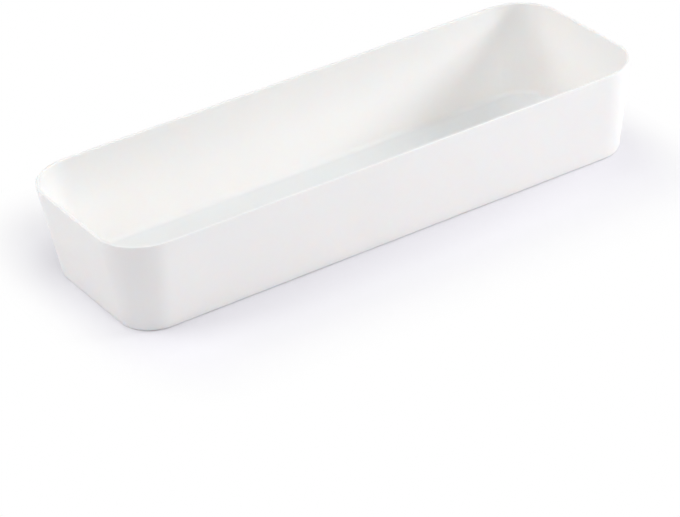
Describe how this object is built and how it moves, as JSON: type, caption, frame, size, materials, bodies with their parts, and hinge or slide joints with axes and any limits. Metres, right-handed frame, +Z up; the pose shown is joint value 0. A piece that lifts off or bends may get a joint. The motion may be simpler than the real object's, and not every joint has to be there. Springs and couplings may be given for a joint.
{
  "type": "drawer organizer tray",
  "caption": "Long, shallow, open-topped drawer organizer tray with outward-leaning walls, rounded corners, a smooth flat floor and a slightly recessed underside, moulded as a seamless shell of white plastic.",
  "frame": {"origin": "middle of the tray, on the surface that its border stands on", "axes": "+X along the tray, +Y across it, +Z up, out of its open top"},
  "size_m": [0.3098, 0.1078, 0.0508],
  "materials": {
    "white_polypropylene": "satin, as moulded"
  },
  "bodies": {
    "root": {"organizer_tray": "white_polypropylene"}
  },
  "joints": []
}
